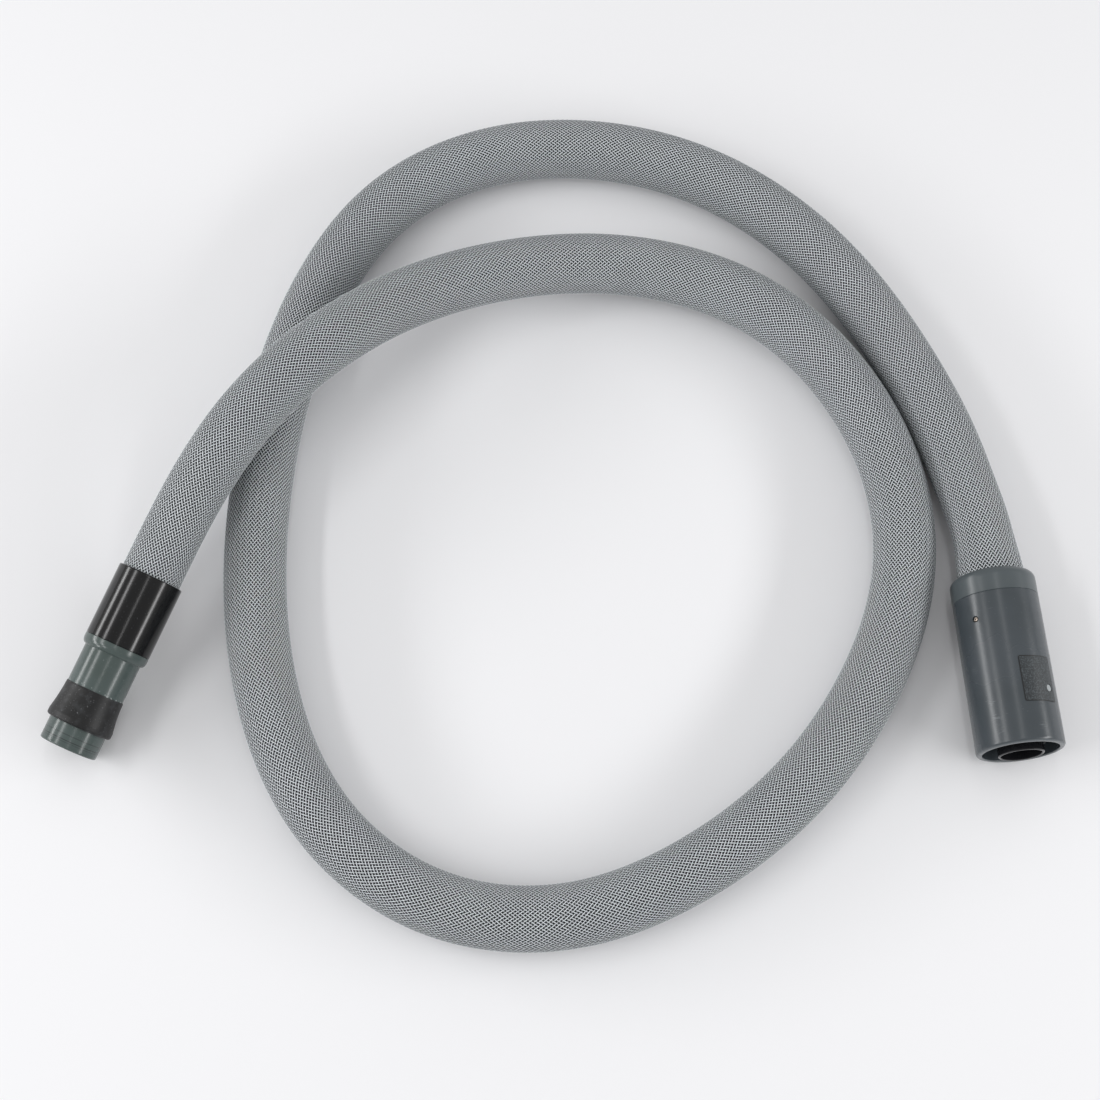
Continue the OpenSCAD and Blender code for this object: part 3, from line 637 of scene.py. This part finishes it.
# %% Make the glossy cuff
t, shader = moulded(
    "cuff", "polished black PVC", "#030304", "#070708", 0.17, grain=1.2, bump=0.03,
    Specular_IOR_Level=0.42,
)  # fmt: skip
over(t, shader, "#55595c", specks(t, own_place(t, tool_frame), size=0.7, spread=0.03), 0.6)

# %% Make the nozzle, with its scored rings and its chipped edge
t, shader = moulded(
    "nozzle", "satin moulded ABS, green-grey", "#404b48", "#4a5554", 0.22, grain=0.6, bump=0.08
)
# Each ring's place along the nozzle in mm and its strength, and half of a ring's width
SCORED, SCORED_HALF = ((104.0, 0.55), (107.2, 0.75), (108.4, 0.4)), 0.28
# The chipped edge's place, and half of its width
EDGE, EDGE_HALF = 74.6, 1.2
where = own_place(t, tool_frame)
along_nozzle = add(t, "ShaderNodeSeparateXYZ", {"Vector": where}).outputs["Z"]
for z, strength in SCORED:
    ring = {0: along_nozzle, 1: z * MM, 2: SCORED_HALF * MM}
    over(t, shader, "#23292a", add(t, "ShaderNodeMath", ring, operation="COMPARE"), strength)
edge = {0: along_nozzle, 1: EDGE * MM, 2: EDGE_HALF * MM}
edge = add(t, "ShaderNodeMath", edge, operation="COMPARE")
over(t, shader, "#a3aaa9", edge, specks(t, where, size=1.3, spread=0.10))
over(t, shader, "#8b9493", specks(t, where, size=0.8, spread=0.03), 0.7)
print("scored rings:", len(SCORED))

# %% Make the dusty rubber
t, shader = moulded(
    "rubber", "moulded black rubber, handled", "#0a0a0b", "#111112", 0.45, grain=0.5, bump=0.3,
    Specular_IOR_Level=0.4,
)  # fmt: skip
where = own_place(t, tool_frame)
over(t, shader, "#5c5f63", specks(t, where, size=6, spread=0.20, soft=0.30), 0.30)
over(t, shader, "#77797b", specks(t, where, size=0.9, spread=0.06), 0.7)

# %% [markdown]
# ## The metal
#
# The bands, the clamp and the rings are bright steel strip. Rolling leaves it smooth, with a gloss
# that wanders over less than a millimetre. The screws are zinc-plated and have gone a little warm
# and dark. Nearly all of a metal's look is what it mirrors, so the roughness does the work.


# %% Make the steels
def rolled(key, name, colour, low, high):
    """Steel whose roughness wanders between two values."""
    made, t, shader = finish(name, colour, low, Metallic=1.0)
    # Patches of about 0.7 mm
    here = add(t, "ShaderNodeTexCoord").outputs["Object"]
    wander = add(t, "ShaderNodeTexNoise", {"Vector": here, "Scale": 1500, "Detail": 2})
    gloss = add(t, "ShaderNodeMapRange", {"Value": wander, "To Min": low, "To Max": high})
    t.links.new(gloss.outputs["Result"], shader.inputs["Roughness"])
    finishes[key] = made
    print("finish:", made.name)


rolled("steel", "bright rolled steel", "#b9bbbd", 0.18, 0.36)
rolled("screws", "zinc-plated screw steel", "#6a625b", 0.16, 0.28)

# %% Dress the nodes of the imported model
dress = {
    "shell": ["plug_shell"], "cap": ["plug_cap"], "cuff": ["tool_cuff"],
    "air_tube": ["air_tube", "swivel_tail", "cuff_tail"],
    "nozzle": ["nozzle_tube"], "rubber": ["rubber_sleeve"],
    "seal": ["swivel_o_ring", "nozzle_o_ring", "face_seal"],
    "slide": ["rear_slide_ring", "front_slide_ring", "wear_ring"], "pale": ["alignment_dot"],
    "steel": ["sleeve_band", "hose_clamp", "crimp_ring", "snap_ring"], "core": ["sleeve_collar"],
}  # fmt: skip
for key, nodes in dress.items():
    for node in nodes:
        mesh = frame["nodes"][node].data
        mesh.materials.clear()
        mesh.materials.append(finishes[key])
print("dressed", sum(len(nodes) for nodes in dress.values()), "nodes")

# %% [markdown]
# ## The screws
#
# Three small socket screws hold the cap in the shell. They stand on a ring, at even steps, which is
# a rule again: one screw is built from solids, set on the corners of a mesh circle, and turned
# to look away from the axis. Each gets its own twist, from a fixed seed.

# %% Build one screw in a node tree
screw_tree, size = tree_with("ring of socket screws", {
    "Count": "Int", "Ring radius": "Float", "First turn": "Float", "Head radius": "Float",
    "Head height": "Float", "Chamfer": "Float", "Key radius": "Float", "Key depth": "Float",
    "Shank radius": "Float", "Shank length": "Float", "Seed": "Int", "Metal": "Material",
})  # fmt: skip


def raised(tree, solid, height):
    """A solid moved up along z."""
    up = add(tree, "ShaderNodeCombineXYZ", {"Z": height})
    return add(tree, "GeometryNodeTransform", {"Geometry": solid, "Translation": up})


straight = {0: size["Head height"], 1: size["Chamfer"]}
straight = add(screw_tree, "ShaderNodeMath", straight, operation="SUBTRACT")
head = {"Vertices": 24, "Radius": size["Head radius"], "Depth": straight}
head = add(screw_tree, "GeometryNodeMeshCylinder", head)
half = add(screw_tree, "ShaderNodeMath", {0: straight, 1: 0.5}, operation="MULTIPLY")
top_r = {0: size["Head radius"], 1: size["Chamfer"]}
top_r = add(screw_tree, "ShaderNodeMath", top_r, operation="SUBTRACT")
bevel = {
    "Vertices": 24, "Radius Top": top_r, "Radius Bottom": size["Head radius"],
    "Depth": size["Chamfer"],
}  # fmt: skip
bevel = add(screw_tree, "GeometryNodeMeshCone", bevel)
shank = {"Vertices": 16, "Radius": size["Shank radius"], "Depth": size["Shank length"]}
shank = add(screw_tree, "GeometryNodeMeshCylinder", shank)
down = {0: size["Shank length"], 1: -0.5}
down = add(screw_tree, "ShaderNodeMath", down, operation="MULTIPLY")
whole = add(screw_tree, "GeometryNodeMeshBoolean", operation="UNION", solver="EXACT")
for solid, height in ((head, half), (bevel, straight), (shank, down)):
    screw_tree.links.new(raised(screw_tree, solid, height).outputs[0], whole.inputs["Mesh 2"])
# The key's prism stands half above the head, so it is twice as long as its hole is deep
twice = add(screw_tree, "ShaderNodeMath", {0: size["Key depth"], 1: 2}, operation="MULTIPLY")
key = {"Vertices": 6, "Radius": size["Key radius"], "Depth": twice}
key = add(screw_tree, "GeometryNodeMeshCylinder", key)
key = raised(screw_tree, key, size["Head height"])
screw = {"Mesh 1": whole, "Mesh 2": key}
screw = add(screw_tree, "GeometryNodeMeshBoolean", screw, operation="DIFFERENCE", solver="EXACT")
print("screw tree, one screw:", len(screw_tree.nodes), "nodes")

# %% Set the screw on a ring
ring = {"Vertices": size["Count"], "Radius": size["Ring radius"]}
ring = add(screw_tree, "GeometryNodeMeshCircle", ring)
start = add(screw_tree, "ShaderNodeCombineXYZ", {"Z": size["First turn"]})
ring = add(screw_tree, "GeometryNodeTransform", {"Geometry": ring, "Rotation": start})
outward = {"Vector": add(screw_tree, "GeometryNodeInputPosition")}
outward = add(screw_tree, "FunctionNodeAlignRotationToVector", outward, axis="Z")
# Inputs 2 and 3 are the least and the most of a float. A sixth of a turn brings the key back.
twist = {2: 0.0, 3: math.pi / 3, "Seed": size["Seed"]}
twist = add(screw_tree, "FunctionNodeRandomValue", twist, data_type="FLOAT").outputs[1]
twisted = {"Rotation": outward, "Rotate By": add(screw_tree, "ShaderNodeCombineXYZ", {"Z": twist})}
twisted = add(screw_tree, "FunctionNodeRotateRotation", twisted, rotation_space="LOCAL")
screws = {"Points": ring, "Instance": screw, "Rotation": twisted}
screws = add(screw_tree, "GeometryNodeInstanceOnPoints", screws)
screws = add(screw_tree, "GeometryNodeRealizeInstances", {"Geometry": screws})
screws = {"Geometry": screws, "Material": size["Metal"]}
screws = add(screw_tree, "GeometryNodeSetMaterial", screws)
add(screw_tree, "NodeGroupOutput", {"Geometry": screws})
print("screw tree, whole:", len(screw_tree.nodes), "nodes")

# %% Set the screws in the cap
# In mm: the screws' place along the plug, the radii of the shell and of the cap's bore there, and
# how deep the heads are sunk and how high they are
SCREW_Z, SHELL_REAR_R, CAP_BORE_R, SCREW_RECESS, HEAD_H = 30.5, 25.58, 21.86, 0.5, 0.8
seat = SHELL_REAR_R - SCREW_RECESS - HEAD_H
cap_screws = made_by(screw_tree, "cap_screws", {
    "Count": 3, "Ring radius": seat * MM, "First turn": math.radians(135), "Head radius": 1.5 * MM,
    "Head height": HEAD_H * MM, "Chamfer": 0.4 * MM, "Key radius": 0.75 * MM, "Key depth": 0.6 * MM,
    "Shank radius": 1.0 * MM, "Shank length": (seat - CAP_BORE_R) * MM, "Seed": 3,
    "Metal": finishes["screws"],
})  # fmt: skip
cap_screws.data.transform(plug_frame @ Matrix.Translation((0, 0, SCREW_Z * MM)))
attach(cap_screws, "machine_plug")
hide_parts("plug_screws")
print("screws:", len(cap_screws.data.vertices), "points")

# %% [markdown]
# ## The bare plate
#
# A thin rectangular foil is stuck on the shell beside the pale dot. It stays blank here. Its flat
# outline is filled with triangles, with a round window for the dot, and every point is then dropped
# onto the shell by a ray, so that the foil bends with it.

# %% Draw the plate flat
from mathutils.geometry import delaunay_2d_cdt

# All in mm, apart from the turns round the plug
PLATE_Z, PLATE_TURN, PLATE_SIZE, PLATE_CORNER = 70.6, math.radians(63), (22.6, 27.6), 1.2
DOT_Z, DOT_TURN = 76.0, math.radians(47)
RIM_INSET, FIELD_INSET, WINDOW_R, WINDOW_RIM_R = 0.55, 0.7, 2.3, 2.55
EDGE_STEP, GRID, GRID_MARGIN, GRID_CLEAR = 1.5, (1.5, 1.6), 0.8, 3.1
dot_x, dot_y = SHELL_R * (DOT_TURN - PLATE_TURN), DOT_Z - PLATE_Z


def plate_outline(inset):
    """Points round the plate, as distances from its middle, with round corners."""
    corners = []
    reach = PLATE_CORNER - inset
    for quarter, signs in enumerate(((1, 1), (-1, 1), (-1, -1), (1, -1))):
        middle = [s * (side / 2 - PLATE_CORNER) for s, side in zip(signs, PLATE_SIZE)]
        for step in range(5):
            a = (quarter + step / 4) * math.pi / 2
            corners.append((middle[0] + reach * math.cos(a), middle[1] + reach * math.sin(a)))
    points = []
    for (ax, ay), (bx, by) in zip(corners, corners[1:] + corners[:1]):
        # Long sides get points too, so that they can bend with the shell
        n = max(1, round(math.hypot(bx - ax, by - ay) / EDGE_STEP))
        points += [(ax + (bx - ax) * k / n, ay + (by - ay) * k / n) for k in range(n)]
    return points


def window(radius):
    """Points round the dot."""
    turns = [k * math.pi / 12 for k in range(24)]
    return [(dot_x + radius * math.cos(a), dot_y + radius * math.sin(a)) for a in turns]


outlines = [plate_outline(inset) for inset in (0, RIM_INSET, FIELD_INSET)]
loops = outlines + [window(radius) for radius in (WINDOW_R, WINDOW_RIM_R)]
flat, edges = [], []
for loop in loops:
    start = len(flat)
    flat += loop
    edges += [(start + k, start + (k + 1) % len(loop)) for k in range(len(loop))]
for column in range(-7, 8):
    for row in range(-8, 9):
        x, y = column * GRID[0], row * GRID[1]
        inside = all(abs(v) < side / 2 - GRID_MARGIN for v, side in zip((x, y), PLATE_SIZE))
        if inside and math.hypot(x - dot_x, y - dot_y) > GRID_CLEAR:
            flat.append((x, y))
# Only what the outer outline holds is filled, and points nearer than a millionth of a mm are one
INSIDE_ONLY, NEAREST = 1, 1e-6
outer_face = list(range(len(loops[0])))
filled = delaunay_2d_cdt([Vector(p) for p in flat], edges, [outer_face], INSIDE_ONLY, NEAREST)
flat, triangles = filled[0], filled[2]
# Leave the window open. Its sides are straight, and lie up to 0.02 mm inside its radius.
open_tris = []
for tri in triangles:
    middle = sum((flat[k] for k in tri), Vector((0, 0))) / 3
    if math.hypot(middle.x - dot_x, middle.y - dot_y) > WINDOW_R - 0.02:
        open_tris.append(tri)
print("flat plate:", len(flat), "points", len(open_tris), "triangles")

# %% Lay the plate on the shell
# In mm: how far the foil's two faces lie from the shell's surface, where a ray starts, and the
# least radius at which it can have met that surface
FOIL_TOP, FOIL_UNDER, RAY_START, LEAST_R = 0.22, -0.05, 40, 25
shell = frame["nodes"]["plug_shell"]
axis_at, axis_x, axis_y, axis_z = (Vector(plug_frame.col[k][:3]) for k in (3, 0, 1, 2))
top, bottom = [], []
for x, y in flat:
    a = PLATE_TURN + x / SHELL_R
    outward = axis_x * math.cos(a) + axis_y * math.sin(a)
    centre = axis_at + axis_z * (PLATE_Z + y) * MM
    found, hit, _, _ = shell.ray_cast(centre + outward * RAY_START * MM, -outward)
    base = (hit - centre).length
    if not found or base < LEAST_R * MM:
        base = SHELL_R * MM
    top.append(centre + outward * (base + FOIL_TOP * MM))
    bottom.append(centre + outward * (base + FOIL_UNDER * MM))
n = len(flat)
faces = [tuple(tri) for tri in open_tris]
faces += [tuple(n + k for k in reversed(tri)) for tri in open_tris]
borders = {(a, b): True for tri in open_tris for a, b in zip(tri, (*tri[1:], tri[0]))}
faces += [(b, a, n + a, n + b) for a, b in borders if (b, a) not in borders]
plate_mesh = bpy.data.meshes.new("blank_plate")
plate_mesh.from_pydata(top + bottom, [], faces)
plate_mesh.polygons.foreach_set("use_smooth", [True] * len(faces))
plate_mesh.set_sharp_from_angle(angle=math.radians(40))
# The painted shade along the rim: the two outermost outlines, the window's first one, and the
# underside
ends = [sum(len(loop) for loop in loops[:k]) for k in (2, 3, 4)]
on_rim = {*range(ends[0]), *range(ends[1], ends[2])}
rim = plate_mesh.attributes.new("rim", "FLOAT", "POINT")
rim.data.foreach_set("value", [float(k in on_rim) for k in range(n)] + [1.0] * n)
blank_plate = placed("blank_plate", plate_mesh)
print("plate:", len(faces), "faces")

# %% Make the foil's finish
t, shader = moulded(
    "foil", "matt polycarbonate foil, dark grey", "#262a2d", "#2d3235", 0.45, grain=0.35, bump=0.35
)
where = own_place(t, plug_frame)
over(t, shader, "#1b1f21", specks(t, where, size=0.5, spread=0.16))
over(t, shader, "#4b5256", specks(t, where, size=0.8, spread=0.24, soft=0.12), 0.7)
# A painted shade along the plate's edge and round the window's edge
over(t, shader, "#0f1112", add(t, "ShaderNodeAttribute", attribute_name="rim").outputs["Fac"])
plate_mesh.materials.append(finishes["foil"])
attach(blank_plate, "machine_plug")

# %% [markdown]
# ## Table and light
#
# The table is plain and pale. Glossy plastic looks like plastic by the stripes that it mirrors, so
# the lamps are long and narrow: two low ones at the sides, and two higher ones. A pale world fills
# the shadows.

# %% Lay the table
TABLE_HALF = 6  # in metres
floor_mesh = bpy.data.meshes.new("table")
corners = [(TABLE_HALF * x, TABLE_HALF * y, 0) for x, y in ((-1, -1), (1, -1), (1, 1), (-1, 1))]
floor_mesh.from_pydata(corners, [], [(0, 1, 2, 3)])
table = placed("table", floor_mesh)
floor_mesh.materials.append(finish("pale studio board", "#eeeef0", 0.9)[0])
print("table:", 2 * TABLE_HALF, "m wide")

# %% Hang the lamps
world = bpy.data.worlds.new("studio")
scene.world = world
world.use_nodes = True
background = world.node_tree.nodes["Background"]
background.inputs["Color"].default_value = (1, 1, 1, 1)
background.inputs["Strength"].default_value = 0.56

# Where each lamp hangs, where it points, its two sides, all in metres, and its power in watts
LAMPS = {
    "strip_left": ((-2.13, 0.10, 0.80), (0, 0.10, 0), (2.4, 0.32), 23.5),
    "softbox_left": ((-1.68, -0.25, 1.92), (0, -0.25, 0), (1.7, 0.24), 12),
    "softbox_right": ((1.90, -0.40, 0.88), (0, 0.10, 0), (2.0, 0.30), 20.5),
    "strip_top": ((0.10, 0.10, 2.60), (0, 0.10, 0), (2.4, 0.12), 5),
}
for name, (place, target, sides, power) in LAMPS.items():
    light = bpy.data.lights.new(name, "AREA")
    light.shape, light.size, light.size_y, light.energy = "RECTANGLE", *sides, power
    lamp = placed(name, light)
    lamp.location = place
    lamp.rotation_euler = (Vector(target) - Vector(place)).to_track_quat("-Z", "Y").to_euler()
print("lamps:", ", ".join(LAMPS))
